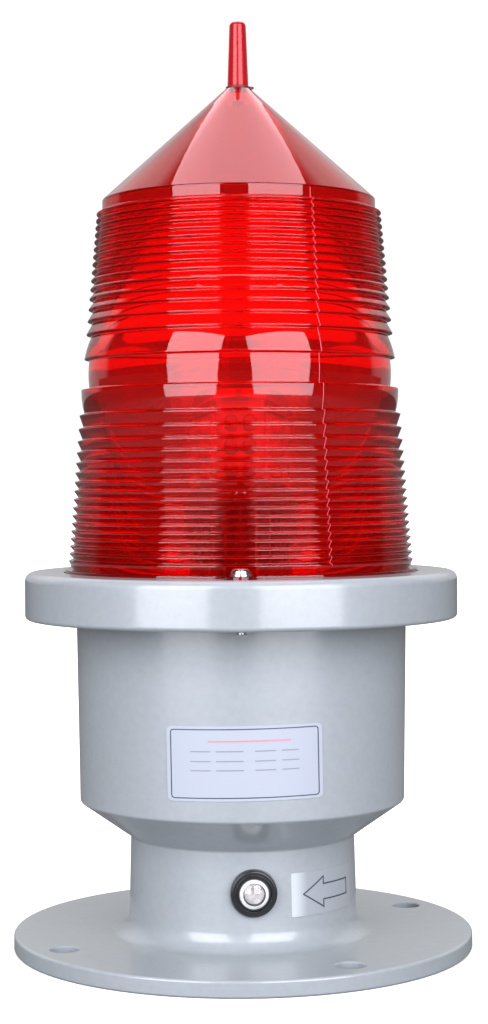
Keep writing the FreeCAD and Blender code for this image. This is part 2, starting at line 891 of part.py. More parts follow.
def driver_screws():
    """Screws up through tray and lid into the chassis plate."""
    seat = driver_top - 2 * driver_sheet
    screws = []
    for x, y in driver_hole_places():
        screw = pan_screw(small_screw_radius, 2 * driver_sheet + chassis_thickness, small_head_radius,
                          small_head_height, seat)
        screw = upside_down(screw, seat)
        screw.translate(Vector(x, y, 0))
        screws.append(screw)
    return Part.makeCompound(screws)


def terminal_x(index):
    """Sideways place of a pole of the terminal block."""
    return (index - (terminal_poles - 1) / 2) * terminal_pole_pitch


def terminal_hole_places():
    """Where the two screws that hold the terminal block stand, as (x, y)."""
    return [(side * terminal_pole_pitch / 2, -terminal_distance) for side in (-1, 1)]


def terminal_block():
    """Moulded block with a wire entry on both sides of each pole and wells for the screws."""
    front = -terminal_distance - terminal_width / 2
    back = -terminal_distance + terminal_width / 2
    top = chassis_top + terminal_height
    body = block((-terminal_length / 2, front, chassis_top), (terminal_length / 2, back, top))
    entry_height = chassis_top + terminal_entry_height
    for index in range(terminal_poles):
        entry = Part.makeCylinder(terminal_entry_radius, terminal_width + 2,
                                  Vector(terminal_x(index), front - 1, entry_height), Vector(0, 1, 0))
        body = body.cut(entry)
        for y in (front + terminal_screw_inset, back - terminal_screw_inset):
            body = body.cut(rod(terminal_screw_radius + running_gap, entry_height, top + 1,
                                terminal_x(index), y))
    for x, y in terminal_hole_places():
        body = body.cut(rod(small_screw_radius + hole_gap, chassis_top - 1, top + 1, x, y))
    return body


def terminal_screws():
    """Clamping screws in their wells, and the two screws that hold the block down."""
    front = -terminal_distance - terminal_width / 2
    back = -terminal_distance + terminal_width / 2
    top = chassis_top + terminal_height
    screws = []
    open_end = top - terminal_well_depth
    on_lead = chassis_top + terminal_entry_height + lead_radius
    for index in range(terminal_poles):
        x = terminal_x(index)
        for y, bottom in ((front + terminal_screw_inset, open_end), (back - terminal_screw_inset, on_lead)):
            end = bottom + terminal_screw_length
            screw = rod(terminal_screw_radius, bottom, end, x, y)
            reach = terminal_screw_radius + 1
            slot = block((x - reach, y - terminal_slot_half, end - terminal_slot_depth),
                         (x + reach, y + terminal_slot_half, end + 1))
            screws.append(screw.cut(slot))
    for x, y in terminal_hole_places():
        screws.append(pan_screw(small_screw_radius, terminal_height + chassis_thickness,
                                terminal_head_radius, terminal_head_height, top, x, y))
    return Part.makeCompound(screws)


def bent_lead(points, bend, radius):
    """Round wire along straight runs joined by arcs of one bend radius."""
    path = []
    start = points[0]
    for index in range(1, len(points) - 1):
        corner = points[index]
        back = (points[index - 1] - corner).normalize()
        ahead = (points[index + 1] - corner).normalize()
        half = back.getAngle(ahead) / 2
        reach = bend / math.tan(half)
        enter = corner + back * reach
        leave = corner + ahead * reach
        middle = corner + (back + ahead).normalize() * (bend / math.sin(half) - bend)
        path.append(Part.makeLine(start, enter))
        path.append(Part.Arc(enter, middle, leave).toShape())
        start = leave
    path.append(Part.makeLine(start, points[-1]))
    section = Part.Wire(Part.makeCircle(radius, points[0], points[1] - points[0]))
    return Part.Wire(path).makePipeShell([section], True, False)


def supply_leads():
    """One lead from each pole of the terminal block down to the driver's board."""
    start_y = -terminal_distance + terminal_width / 2 - terminal_screw_inset
    height = chassis_top + terminal_entry_height
    leads = []
    for index in range(terminal_poles):
        x = terminal_x(index)
        points = [Vector(x, start_y, height),
                  Vector(x, supply_lead_y, height),
                  Vector(x, supply_lead_y, board_face())]
        leads.append(bent_lead(points, supply_lead_bend, lead_radius))
    return Part.makeCompound(leads)


def led_leads():
    """Pair of leads from the driver's board up the post to the roof of the lamp head."""
    half = lead_pair_spacing / 2
    leads = [rod(lead_radius, board_face(), core_top - core_roof, x) for x in (-half, half)]
    return Part.makeCompound(leads)


def gland_body():
    """Hexagon against the floor's underside, a threaded stub through it and a collar below."""
    hexagon = prism(6, gland_flats / 2, floor_underside - gland_hex_height, floor_underside)
    stub = rod(gland_thread_radius, floor_underside - 1, floor_top + gland_stub)
    collar = rod(gland_collar_radius, gland_collar_end, floor_underside - 1)
    body = hexagon.fuse(stub).fuse(collar)
    body = body.cut(rod(gland_bore_radius, gland_collar_end - 1, floor_top + gland_stub + 1))
    return body.removeSplitter()


def gland_seal():
    """Rubber sleeve in the cap, under the collar, with the cable's bore."""
    return ring(gland_collar_radius, gland_seal_bore, gland_collar_end - gland_seal_length, gland_collar_end)


def gland_cap():
    """Cap nut that is screwed over the collar and holds the seal."""
    top = floor_underside - gland_hex_height - gland_cap_gap
    seal_bottom = gland_collar_end - gland_seal_length
    bottom = seal_bottom - gland_cap_wall
    shoulder = bottom + gland_nose
    cap = prism(6, gland_flats / 2, shoulder, top)
    nose = Part.makeCone(gland_flats / 2 - gland_nose / 2, gland_flats / 2, gland_nose, Vector(0, 0, bottom))
    cap = cap.fuse(nose)
    cap = cap.cut(rod(gland_collar_radius + running_gap, seal_bottom, top + 1))
    return cap.cut(rod(gland_bore_radius, bottom - 1, top + 1)).removeSplitter()


def gland_locknut():
    nut = prism(6, gland_flats / 2, floor_top, floor_top + gland_nut_height)
    return nut.cut(rod(gland_thread_radius + running_gap, floor_top - 1, floor_top + gland_nut_height + 1))


def lead_grommet():
    """Rubber bush with a lip on both sides of the floor."""
    outer = grommet_hole_radius + grommet_lip
    inner = grommet_hole_radius - running_gap
    low = floor_underside - grommet_lip_height
    high = floor_top + grommet_lip_height
    body = rod(inner, low, high, grommet_distance)
    body = body.fuse(rod(outer, low, floor_underside, grommet_distance))
    body = body.fuse(rod(outer, floor_top, high, grommet_distance))
    body = body.cut(rod(grommet_bore_radius, low - 1, high + 1, grommet_distance))
    return turned(body.removeSplitter(), sensor_angle)


def sensor_front():
    """Distance from the axis to the front face of the sensor's bush."""
    return sensor_spot_face + sensor_flange_thickness


def photocell_bush():
    """Black flanged bush, pushed in from outside."""
    front = sensor_front()
    body = spun([(0, sensor_bush_end, 0),
                 (sensor_hole_radius, sensor_bush_end, 0.6),
                 (sensor_hole_radius, sensor_spot_face, 0),
                 (sensor_flange_radius, sensor_spot_face, 0),
                 (sensor_flange_radius, front, 1.2),
                 (0, front, 0)])
    body = body.cut(rod(sensor_bush_bore, sensor_bush_end - 1, front + 1))
    return facing_out(body, sensor_angle, sensor_height)


def photocell_rim():
    """Bright ring that holds the glass."""
    front = sensor_front()
    outer = sensor_bush_bore - running_gap
    body = spun([(sensor_rim_bore, front - sensor_rim_depth, 0),
                 (outer, front - sensor_rim_depth, 0),
                 (outer, front - 0.4, 0.3),
                 (sensor_rim_bore, front - 0.4, 0.3)])
    return facing_out(body, sensor_angle, sensor_height)


def photocell_dome():
    """Thin glass dome that stands out of the ring."""
    front = sensor_front()
    outer = sensor_rim_bore - running_gap
    start = front - sensor_rim_depth
    rise = sensor_dome_height - sensor_dome_straight
    curve = (outer * outer + rise * rise) / (2 * rise)
    outside = rod(outer, start, start + sensor_dome_height + 1)
    ball = Part.makeSphere(curve, Vector(0, 0, start + sensor_dome_height - curve))
    inside = rod(outer - sensor_glass, start - 1, start + sensor_dome_height)
    inner_ball = Part.makeSphere(curve - sensor_glass, Vector(0, 0, start + sensor_dome_height - curve))
    body = outside.common(ball).cut(inside.common(inner_ball))
    return facing_out(body, sensor_angle, sensor_height)


def photocell_body():
    """Sensor's body behind the glass, held in the bush."""
    top = sensor_front() - sensor_rim_depth
    body = rod(sensor_bush_bore - running_gap, sensor_body_end, top)
    return facing_out(body, sensor_angle, sensor_height)


def photocell_cell():
    """Light-sensitive disc on the body, under the glass."""
    top = sensor_front() - sensor_rim_depth
    body = rod(sensor_cell_radius, top, top + sensor_cell_height)
    return facing_out(body, sensor_angle, sensor_height)


def photocell_nut():
    """Nut on the bush inside the tube, up against the curved wall at its corners."""
    flat = sensor_nut_flats / 2
    corner = flat / math.cos(math.pi / 6)
    outer = math.sqrt(tube_bore_radius ** 2 - corner ** 2) - skin_gap
    nut = prism(6, flat, outer - sensor_nut_thickness, outer)
    nut = nut.cut(rod(sensor_hole_radius + running_gap, outer - sensor_nut_thickness - 1, outer + 1))
    return facing_out(nut, sensor_angle, sensor_height)


def photocell_leads():
    """Two leads from the sensor through the grommet to the driver's board."""
    leads = []
    for side in (-sensor_lead_spacing / 2, sensor_lead_spacing / 2):
        points = [Vector(sensor_body_end, side, sensor_height),
                  Vector(grommet_distance, side, sensor_height),
                  Vector(grommet_distance, side, driver_bottom + driver_sheet + driver_standoff)]
        leads.append(turned(bent_lead(points, lead_bend, lead_radius), sensor_angle))
    return Part.makeCompound(leads)


def curved_label(radius_low, radius_high, low, high, width, corner, angle):
    """Thin skin that lies on a drafted wall, cut to a rectangle with rounded corners."""
    inner = skin_gap
    outer = skin_gap + label_thickness
    skin = spun([(radius_low + inner, low, 0), (radius_low + outer, low, 0),
                 (radius_high + outer, high, 0), (radius_high + inner, high, 0)])
    half = width / 2
    sheet = block((-half, 0, low), (half, radius_low + radius_high, high))
    along_y = [edge for edge in sheet.Edges
               if abs(edge.Vertexes[0].X - edge.Vertexes[1].X) < 1e-6
               and abs(edge.Vertexes[0].Z - edge.Vertexes[1].Z) < 1e-6]
    sheet = sheet.makeFillet(corner, along_y)
    return turned(skin.common(sheet), angle - 90)


def rating_plate():
    low = plate_centre_height - plate_height / 2
    high = plate_centre_height + plate_height / 2
    return curved_label(bowl_radius_at(low), bowl_radius_at(high), low, high,
                        plate_width, plate_corner, -90 + plate_turn)


def arrow_label():
    low = label_centre_height - label_height / 2
    high = label_centre_height + label_height / 2
    return curved_label(tube_radius_at(low), tube_radius_at(high), low, high,
                        label_width, label_corner, -90 + label_turn)


def earth_washer():
    washer = ring(earth_washer_radius, earth_screw_radius + hole_gap, floor_top,
                  floor_top + earth_washer_thickness, earth_distance)
    return turned(washer, earth_angle)


def earth_screw():
    length = earth_washer_thickness + earth_screw_depth - hole_gap
    screw = pan_screw(earth_screw_radius, length, earth_head_radius, earth_head_height,
                      floor_top + earth_washer_thickness, earth_distance)
    return turned(screw, earth_angle)


def all_nodes():
    """Every separate piece by name."""
    nodes = {
        "housing_casting": housing_casting(),
        "lens_gasket": lens_gasket(),
        "lens_dome": lens_dome(),
        "spike": spike(),
        "spike_seal": spike_seal(),
        "spike_nut": spike_nut(),
        "chassis_plate": chassis_plate(),
        "chassis_screws": chassis_screws(),
        "led_post": led_post(),
        "post_screws": post_screws(),
        "heat_sink": heat_sink(),
        "led_disc": led_disc(),
        "led_core": led_core(),
        "led_cap": led_cap(),
        "cap_screw": cap_screw(),
        "driver_case": driver_case(),
        "driver_lid": driver_lid(),
        "driver_board": driver_board(),
        "driver_transformer": driver_transformer(),
        "driver_capacitors": driver_capacitors(),
        "driver_screws": driver_screws(),
        "terminal_block": terminal_block(),
        "terminal_screws": terminal_screws(),
        "supply_leads": supply_leads(),
        "led_leads": led_leads(),
        "gland_body": gland_body(),
        "gland_seal": gland_seal(),
        "gland_cap": gland_cap(),
        "gland_locknut": gland_locknut(),
        "lead_grommet": lead_grommet(),
        "photocell_bush": photocell_bush(),
        "photocell_rim": photocell_rim(),
        "photocell_dome": photocell_dome(),
        "photocell_cell": photocell_cell(),
        "photocell_body": photocell_body(),
        "photocell_nut": photocell_nut(),
        "photocell_leads": photocell_leads(),
        "earth_washer": earth_washer(),
        "earth_screw": earth_screw(),
        "rating_plate": rating_plate(),
        "arrow_label": arrow_label(),
    }
    for index in range(screw_count):
        angle = first_screw_angle + 360.0 * index / screw_count
        nodes["flat_washer_%d" % (index + 1)] = flat_washer(angle)
        nodes["lens_screw_%d" % (index + 1)] = lens_screw(angle)
    for index in range(core_sides):
        nodes["led_board_%d" % (index + 1)] = led_board(index)
        nodes["led_lenses_%d" % (index + 1)] = led_lenses(index)
    return nodes


def write_parts():
    os.makedirs("parts", exist_ok=True)
    for name, shape in all_nodes().items():
        print(name, len(shape.Solids), "solids, valid:", shape.isValid(), "volume", round(shape.Volume, 1))
        shape.exportStep("parts/" + name + ".step")


write_parts()
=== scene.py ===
# %% [markdown]
# # An aviation beacon lamp in Blender
#
# A red ribbed lens stands on a grey cast housing. Inside it, a small lamp head carries
# rows of light-emitting diodes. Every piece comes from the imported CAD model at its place,
# in metres, and this lesson gives it the finer shape and the finish that a camera sees.

# %% Load the frame
import json
import math

import bmesh
import bpy
from mathutils import Matrix, Vector


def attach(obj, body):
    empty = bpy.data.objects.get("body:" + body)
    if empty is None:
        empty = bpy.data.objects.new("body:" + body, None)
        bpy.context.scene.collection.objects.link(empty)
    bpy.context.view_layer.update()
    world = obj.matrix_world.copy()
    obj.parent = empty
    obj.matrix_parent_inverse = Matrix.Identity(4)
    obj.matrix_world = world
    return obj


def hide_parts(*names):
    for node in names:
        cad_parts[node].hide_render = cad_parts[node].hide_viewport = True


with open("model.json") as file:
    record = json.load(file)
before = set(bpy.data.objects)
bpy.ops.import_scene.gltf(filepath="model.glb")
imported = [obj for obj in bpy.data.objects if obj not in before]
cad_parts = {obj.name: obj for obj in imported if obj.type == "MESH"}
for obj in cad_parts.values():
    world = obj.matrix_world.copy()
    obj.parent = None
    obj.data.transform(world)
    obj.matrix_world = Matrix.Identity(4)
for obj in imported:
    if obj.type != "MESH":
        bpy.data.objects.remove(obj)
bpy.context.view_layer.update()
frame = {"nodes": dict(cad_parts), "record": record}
scene = bpy.context.scene

# %% [markdown]
# ## Camera
#
# The photograph was taken almost level, a metre in front of the lamp. The sides of the
# lamp stay upright in it, so the camera looks straight ahead and is shifted a little, as
# a view camera is, and not tipped. It is rolled by a third of a degree. The focal length
# and the shifts are in pixels of the photograph's long side, the rest is in metres.

# %% Camera
LONG_SIDE = 1024
focal_pixels = 2099
eye_distance = 1.014
eye_height = 0.2257
shift_right = 3.64
shift_up = -36.5
roll = -0.36

camera_data = bpy.data.cameras.new("camera")
camera_data.sensor_width = 36
camera_data.lens = focal_pixels / LONG_SIDE * camera_data.sensor_width
camera_data.shift_x = shift_right / LONG_SIDE
camera_data.shift_y = shift_up / LONG_SIDE
camera = bpy.data.objects.new("camera", camera_data)
camera.matrix_world = (Matrix.Translation((0, -eye_distance, eye_height))
                       @ Matrix.Rotation(math.radians(90), 4, "X")
                       @ Matrix.Rotation(math.radians(roll), 4, "Z"))
scene.collection.objects.link(camera)
scene.camera = camera
print("focal length", round(camera_data.lens, 1), "mm")

# %% [markdown]
# ## Light
#
# The highlights tell where the lights stood. Two tall soft boxes flank the camera, with a
# dark gap between them, and one hangs overhead, seen whole in the lens's cone. The
# standard view transform keeps the reds as strong as they are in the photograph.

# %% Soft boxes
def soft_box(name, azimuth, distance, height, width, tall, power, tint):
    """Area light that faces the middle of the lamp. Azimuth 0 is the camera's side."""
    data = bpy.data.lights.new(name, "AREA")
    data.shape = "RECTANGLE"
    data.size = width
    data.size_y = tall
    data.energy = power
    data.color = tint
    box = bpy.data.objects.new(name, data)
    turn = math.radians(azimuth)
    box.location = (distance * math.sin(turn), -distance * math.cos(turn), height)
    middle = Vector((0, 0, 0.22))
    box.rotation_euler = (middle - box.location).to_track_quat("-Z", "Y").to_euler()
    scene.collection.objects.link(box)
    return box


cool_white = (0.92, 0.93, 1.0)
soft_box("left_box", -35, 1.5, 0.55, 1.09, 1.86, 45, cool_white)
soft_box("right_box", 30.6, 1.5, 0.55, 1.25, 1.86, 51, cool_white)
soft_box("top_box", 180, 0.45, 1.55, 0.98, 1.3, 13, cool_white)

scene.view_settings.view_transform = "Standard"

# %% [markdown]
# The room is a world shader. Reflections see it dark in front, where the camera stands,
# and pale behind the lamp, brightest high up, as the edges of the cone show. Soft light on
# the enamel and light that shines through the lens come evenly from all round, and the
# camera sees pure white.

# %% Room
world = bpy.data.worlds.new("room")
scene.world = world
world.use_nodes = True
world.cycles.sampling_method = "NONE"
room = world.node_tree
room.nodes.clear()
direction = room.nodes.new("ShaderNodeTexCoord")
parts = room.nodes.new("ShaderNodeSeparateXYZ")
room.links.new(direction.outputs["Generated"], parts.inputs[0])
rays = room.nodes.new("ShaderNodeLightPath")


def brightening(axis, low, high, dark, light):
    """Strength that grows from dark to light as a direction turns along an axis."""
    ramp = room.nodes.new("ShaderNodeMapRange")
    ramp.interpolation_type = "SMOOTHSTEP"
    for name, value in (("From Min", low), ("From Max", high), ("To Min", dark),
                        ("To Max", light)):
        ramp.inputs[name].default_value = value
    room.links.new(parts.outputs[axis], ramp.inputs["Value"])
    return ramp


def for_rays(strength, kind, value):
    """Another strength of the room for one kind of ray."""
    pick = room.nodes.new("ShaderNodeMix")
    room.links.new(rays.outputs[kind], pick.inputs[0])
    room.links.new(strength, pick.inputs[2])
    pick.inputs[3].default_value = value
    return pick.outputs[0]


brightest = 1.0
behind = brightening("Y", 0.42, 0.55, 0.04, brightest)
upward = brightening("Z", 0.18, 0.42, 0.5, brightest)
room.links.new(upward.outputs["Result"], behind.inputs["To Max"])
strength = for_rays(behind.outputs["Result"], "Is Diffuse Ray", 0.62)
strength = for_rays(strength, "Is Transmission Ray", 0.36)
strength = for_rays(strength, "Is Camera Ray", 1.05)
white = room.nodes.new("ShaderNodeBackground")
white.inputs["Color"].default_value = (1, 1, 1, 1)
room.links.new(strength, white.inputs["Strength"])
room_output = room.nodes.new("ShaderNodeOutputWorld")
room.links.new(white.outputs[0], room_output.inputs["Surface"])
print("room strength behind and above", brightest)

# %% [markdown]
# ## Finishes
#
# Each finish is a Principled shader. Small helpers add the nodes that most of them need: a
# soft noise for uneven colour or gloss, and a bump for grain. All of them read object
# coordinates, in metres, so the grain keeps its size on every piece.

# %% Helpers for materials
def finish(name, colour, roughness, metallic=0.0):
    """New material with one Principled shader, and that shader."""
    material = bpy.data.materials.new(name)
    material.use_nodes = True
    shader = material.node_tree.nodes["Principled BSDF"]
    shader.inputs["Base Color"].default_value = (*colour, 1)
    shader.inputs["Roughness"].default_value = roughness
    shader.inputs["Metallic"].default_value = metallic
    return material, shader


def add(material, kind, **settings):
    """New node; settings are its own properties or, by name, its sockets."""
    node = material.node_tree.nodes.new(kind)
    for name, value in settings.items():
        socket = node.inputs.get(name.replace("_", " "))
        if socket is not None:
            socket.default_value = value
        else:
            setattr(node, name, value)
    return node


def wire(material, output, socket):
    material.node_tree.links.new(output, socket)


def place(material, stretch=(1, 1, 1)):
    """Object coordinates, in metres, stretched along the axes."""
    coordinates = add(material, "ShaderNodeTexCoord")
    mapping = add(material, "ShaderNodeMapping", Scale=stretch)
    wire(material, coordinates.outputs["Object"], mapping.inputs["Vector"])
    return mapping.outputs["Vector"]


def mottle(material, scale, detail=2.0, stretch=(1, 1, 1)):
    """Soft noise between 0 and 1, with that many lumps to a metre."""
    noise = add(material, "ShaderNodeTexNoise", Scale=scale, Detail=detail)
    wire(material, place(material, stretch), noise.inputs["Vector"])
    return noise.outputs["Fac"]


def tint(material, shader, factor, dark, light):
    """Base colour between two colours by a factor."""
    ramp = add(material, "ShaderNodeValToRGB")
    ramp.color_ramp.elements[0].position = 0.3
    ramp.color_ramp.elements[1].position = 0.7
    ramp.color_ramp.elements[0].color = (*dark, 1)
    ramp.color_ramp.elements[1].color = (*light, 1)
    wire(material, factor, ramp.inputs["Fac"])
    wire(material, ramp.outputs["Color"], shader.inputs["Base Color"])


def dent(material, shader, height, depth):
    """Bump from a height between 0 and 1; depth is in metres."""
    bump = add(material, "ShaderNodeBump", Distance=depth)
    wire(material, height, bump.inputs["Height"])
    wire(material, bump.outputs["Normal"], shader.inputs["Normal"])


def dull(material, shader, factor, low, high):
    """Roughness between two values by a factor."""
    spread = add(material, "ShaderNodeMapRange", To_Min=low, To_Max=high)
    wire(material, factor, spread.inputs["Value"])
    wire(material, spread.outputs["Result"], shader.inputs["Roughness"])


# %% [markdown]
# The housing is an aluminium casting under glossy light grey enamel. The enamel has a fine
# orange peel, so the soft boxes show in it as bright patches with soft edges. A coat over
# a duller base gives both: a clear reflection and a soft sheen below it.

# %% Enamel
enamel, shader = finish("grey_enamel", (0.25, 0.28, 0.31), 0.34)
shader.inputs["Coat Weight"].default_value = 0.7
shader.inputs["Coat Roughness"].default_value = 0.13
tint(enamel, shader, mottle(enamel, 300, 4), (0.235, 0.255, 0.272), (0.252, 0.274, 0.292))
dent(enamel, shader, mottle(enamel, 520, 2), 0.00003)

# %% [markdown]
# The lens is clear plastic with a red dye in it. The dye works with depth: a wall is deep
# red, and the thin tip of a rib is almost grey. So the surface is nearly colourless, and a
# volume absorption takes the green and blue out of the light inside the plastic.

# %% Red plastic
def dye(material, colour, density):
    """Absorption inside a clear material; density is per metre."""
    depth = add(material, "ShaderNodeVolumeAbsorption", Color=(*colour, 1), Density=density)
    output = material.node_tree.nodes["Material Output"]
    wire(material, depth.outputs["Volume"], output.inputs["Volume"])


red_plastic, shader = finish("ruby_plastic", (0.82, 0.012, 0.008), 0.02)
shader.inputs["Transmission Weight"].default_value = 0.93
shader.inputs["IOR"].default_value = 1.49
dye(red_plastic, (0.958, 0.10, 0.0), 400)

red_rod, shader = finish("red_rod", (0.30, 0.004, 0.007), 0.16)
shader.inputs["Specular IOR Level"].default_value = 0.4
shader.inputs["IOR"].default_value = 1.49
dent(red_rod, shader, mottle(red_rod, 300), 0.00004)

# %% [markdown]
# The small parts take plain workshop finishes: plated screws, zinc on the sheet steel,
# turned aluminium, rubber, moulded plastic, the lamp head's white boards and clear domes,
# and the driver's board with its winding, sleeves and leads.

# %% Metals
screw_steel, shader = finish("bright_steel", (0.78, 0.78, 0.78), 0.18, 1.0)
dull(screw_steel, shader, mottle(screw_steel, 900, 3), 0.12, 0.3)

zinc, shader = finish("zinc_steel", (0.62, 0.63, 0.62), 0.38, 1.0)
dull(zinc, shader, mottle(zinc, 120, 4), 0.28, 0.48)

aluminium, shader = finish("turned_aluminium", (0.78, 0.79, 0.81), 0.32, 1.0)
dull(aluminium, shader, mottle(aluminium, 300, 3, (1, 1, 12)), 0.25, 0.42)

# %% Rubber and plastics
rubber, shader = finish("black_rubber", (0.015, 0.015, 0.016), 0.55)
dent(rubber, shader, mottle(rubber, 1500, 2), 0.00003)

red_seal, shader = finish("dark_red_seal", (0.10, 0.006, 0.008), 0.5)
dent(red_seal, shader, mottle(red_seal, 1500, 2), 0.00003)

dark_anodised, shader = finish("dark_anodised", (0.22, 0.22, 0.23), 0.45, 0.3)
dull(dark_anodised, shader, mottle(dark_anodised, 300, 3), 0.38, 0.55)

black_plastic, shader = finish("black_plastic", (0.010, 0.010, 0.012), 0.22)
dent(black_plastic, shader, mottle(black_plastic, 1400, 2), 0.00002)

sleeve, shader = finish("dark_sleeve", (0.02, 0.02, 0.035), 0.25)
dent(sleeve, shader, mottle(sleeve, 800, 2), 0.00002)

red_lead, shader = finish("red_lead", (0.5, 0.02, 0.015), 0.3)
dent(red_lead, shader, mottle(red_lead, 900, 2), 0.00003)

# %% Boards and winding
board_white, shader = finish("board_white", (0.8, 0.8, 0.76), 0.4)
tint(board_white, shader, mottle(board_white, 300), (0.74, 0.74, 0.70), (0.86, 0.86, 0.82))

circuit_green, shader = finish("circuit_green", (0.02, 0.16, 0.05), 0.35)
tint(circuit_green, shader, mottle(circuit_green, 260, 2),
     (0.015, 0.12, 0.04), (0.03, 0.2, 0.07))

winding, shader = finish("winding", (0.4, 0.15, 0.04), 0.35)
tint(winding, shader, mottle(winding, 500, 2, (1, 1, 6)), (0.3, 0.1, 0.03), (0.5, 0.2, 0.06))

# %% Glass
clear_dome, shader = finish("clear_dome", (0.95, 0.95, 0.90), 0.06)
shader.inputs["Transmission Weight"].default_value = 0.35
shader.inputs["IOR"].default_value = 1.5

# %% Films and inks
film, shader = finish("silver_film", (0.30, 0.325, 0.38), 0.5)
shader.inputs["Coat Weight"].default_value = 1.0
shader.inputs["Coat Roughness"].default_value = 0.05
dent(film, shader, mottle(film, 260), 0.00002)

grey_film, shader = finish("grey_film", (0.27, 0.29, 0.31), 0.3)
shader.inputs["Coat Weight"].default_value = 0.6
shader.inputs["Coat Roughness"].default_value = 0.08
# The sticker's film is painted lighter where X is under about 24 mm, turning to its grey by
# about 30 mm: a painted highlight on its end nearer the front.
sideways = add(grey_film, "ShaderNodeSeparateXYZ")
wire(grey_film, place(grey_film), sideways.inputs[0])
painted_highlight_ramp = add(grey_film, "ShaderNodeMapRange", From_Min=0.020, From_Max=0.034)
wire(grey_film, sideways.outputs["X"], painted_highlight_ramp.inputs["Value"])
tint(grey_film, shader, painted_highlight_ramp.outputs["Result"], (0.42, 0.445, 0.48), (0.255, 0.275, 0.295))


def ink(name, colour):
    """Printed line, barely rough."""
    made, ink_shader = finish(name, colour, 0.4)
    dent(made, ink_shader, mottle(made, 2500), 0.00001)
    return made


dark_ink = ink("dark_ink", (0.03, 0.04, 0.07))
grey_ink = ink("grey_ink", (0.17, 0.18, 0.22))
red_ink = ink("red_ink", (0.40, 0.19, 0.24))

# %% Finishes of the CAD nodes
finishes = {
    "grey_enamel": enamel,
    "red_lens": red_plastic,
    "black_rubber": rubber,
    "bright_screw": screw_steel,
    "zinc_steel": zinc,
    "bare_aluminium": aluminium,
    "led_board_white": board_white,
    "clear_dome": clear_dome,
    "circuit_board": circuit_green,
    "winding": winding,
    "capacitor_sleeve": sleeve,
    "black_plastic": black_plastic,
    "red_lead": red_lead,
    "silver_label": film,
}
special = {"spike": red_rod, "spike_seal": red_seal, "arrow_label": grey_film,
           "heat_sink": dark_anodised, "led_disc": dark_anodised}


def give(name, material):
    for place_in_node in frame["nodes"][name].material_slots:
        place_in_node.material = material


finished = 0
for entry in frame["record"]["subparts"]:
    material = special.get(entry["node"], finishes.get(entry["material_slot"]))
    if material:
        give(entry["node"], material)
        finished += 1
print(finished, "nodes have their finish, and the sensor's glass, ring and cell get it later")

# %% [markdown]
# ## Shapes
#
# Nearly everything on the lamp is turned or cast. So the helpers draw an outline in
# millimetres, round its corners with a bevel, and either spin it about the axis or push
# it up into a prism. Booleans then join pieces or drill them, as a workshop would.

# %% Outlines
MM = 0.001


def corner_round(shape, vertex, before, here, after, rounding, steps):
    """Round one corner of an outline with that radius."""
    back = (before - here).normalized()
    ahead = (after - here).normalized()
    reach = rounding / math.tan(back.angle(ahead) / 2)
    bmesh.ops.bevel(shape, geom=[vertex], offset=reach, offset_type="OFFSET", segments=steps,
                    profile=0.5, affect="VERTICES", clamp_overlap=False, material=-1)


def outline(corners, steps=4, plane="XZ"):
    """Face from (first, second, rounding) corners in millimetres, in a plane."""
    shape = bmesh.new()
    places = []
    for first, second, rounding in corners:
        spot = (first, 0, second) if plane == "XZ" else (first, second, 0)
        places.append(Vector(spot) * MM)
    vertices = [shape.verts.new(spot) for spot in places]
    shape.faces.new(vertices)
    count = len(corners)
    for index, vertex in enumerate(vertices):
        rounding = corners[index][2] * MM
        if rounding > 0:
            corner_round(shape, vertex, places[index - 1], places[index],
                         places[(index + 1) % count], rounding, steps)
    return shape


# %% Turned shapes and prisms
def spun(corners, turns=96, steps=4):
    """Closed turned shape about Z. An outline may start and end on the axis."""
    shape = outline(corners, steps)
    bmesh.ops.delete(shape, geom=shape.faces[:], context="FACES_ONLY")
    on_axis = [edge for edge in shape.edges if all(abs(v.co.x) < 1e-7 for v in edge.verts)]
    bmesh.ops.delete(shape, geom=on_axis, context="EDGES")
    bmesh.ops.spin(shape, geom=shape.verts[:] + shape.edges[:], cent=(0, 0, 0), axis=(0, 0, 1),
                   angle=math.tau, steps=turns, use_merge=True)
    bmesh.ops.remove_doubles(shape, verts=shape.verts, dist=1e-7)
    bmesh.ops.recalc_face_normals(shape, faces=shape.faces)
    return shape


def pushed(shape, vector):
    """Solid from a flat face, pushed along a vector in millimetres."""
    top = bmesh.ops.extrude_face_region(shape, geom=shape.faces[:])["geom"]
    raised = [part for part in top if isinstance(part, bmesh.types.BMVert)]
    bmesh.ops.translate(shape, verts=raised, vec=Vector(vector) * MM)
    bmesh.ops.recalc_face_normals(shape, faces=shape.faces)
    return shape


def prism(corners, low, high, steps=4):
    """Upright solid from an outline of (x, y, rounding) corners between two heights."""
    return pushed(moved(outline(corners, steps, "XY"), z=low), (0, 0, high - low))


def plate_of(width, length, low, high, rounding=0.0):
    """Upright prism over a centred rectangle."""
    x, y = width / 2, length / 2
    return prism([(-x, -y, rounding), (x, -y, rounding), (x, y, rounding), (-x, y, rounding)],
                 low, high)


# %% Moving shapes about
def moved(shape, x=0.0, y=0.0, z=0.0):
    bmesh.ops.translate(shape, verts=shape.verts, vec=(x * MM, y * MM, z * MM))
    return shape


def turned(shape, angle, axis="Z"):
    bmesh.ops.rotate(shape, verts=shape.verts, cent=(0, 0, 0),
                     matrix=Matrix.Rotation(math.radians(angle), 3, axis))
    return shape


def facing_out(shape, angle, height):
    """Lay down a shape built along +Z, so that +Z points away from the lamp's axis."""
    return turned(moved(turned(shape, 90, "Y"), z=height), angle)


def around(make, count, first_angle):
    """Shapes from a function, evenly spaced about Z."""
    return [turned(make(), first_angle + 360 * index / count) for index in range(count)]


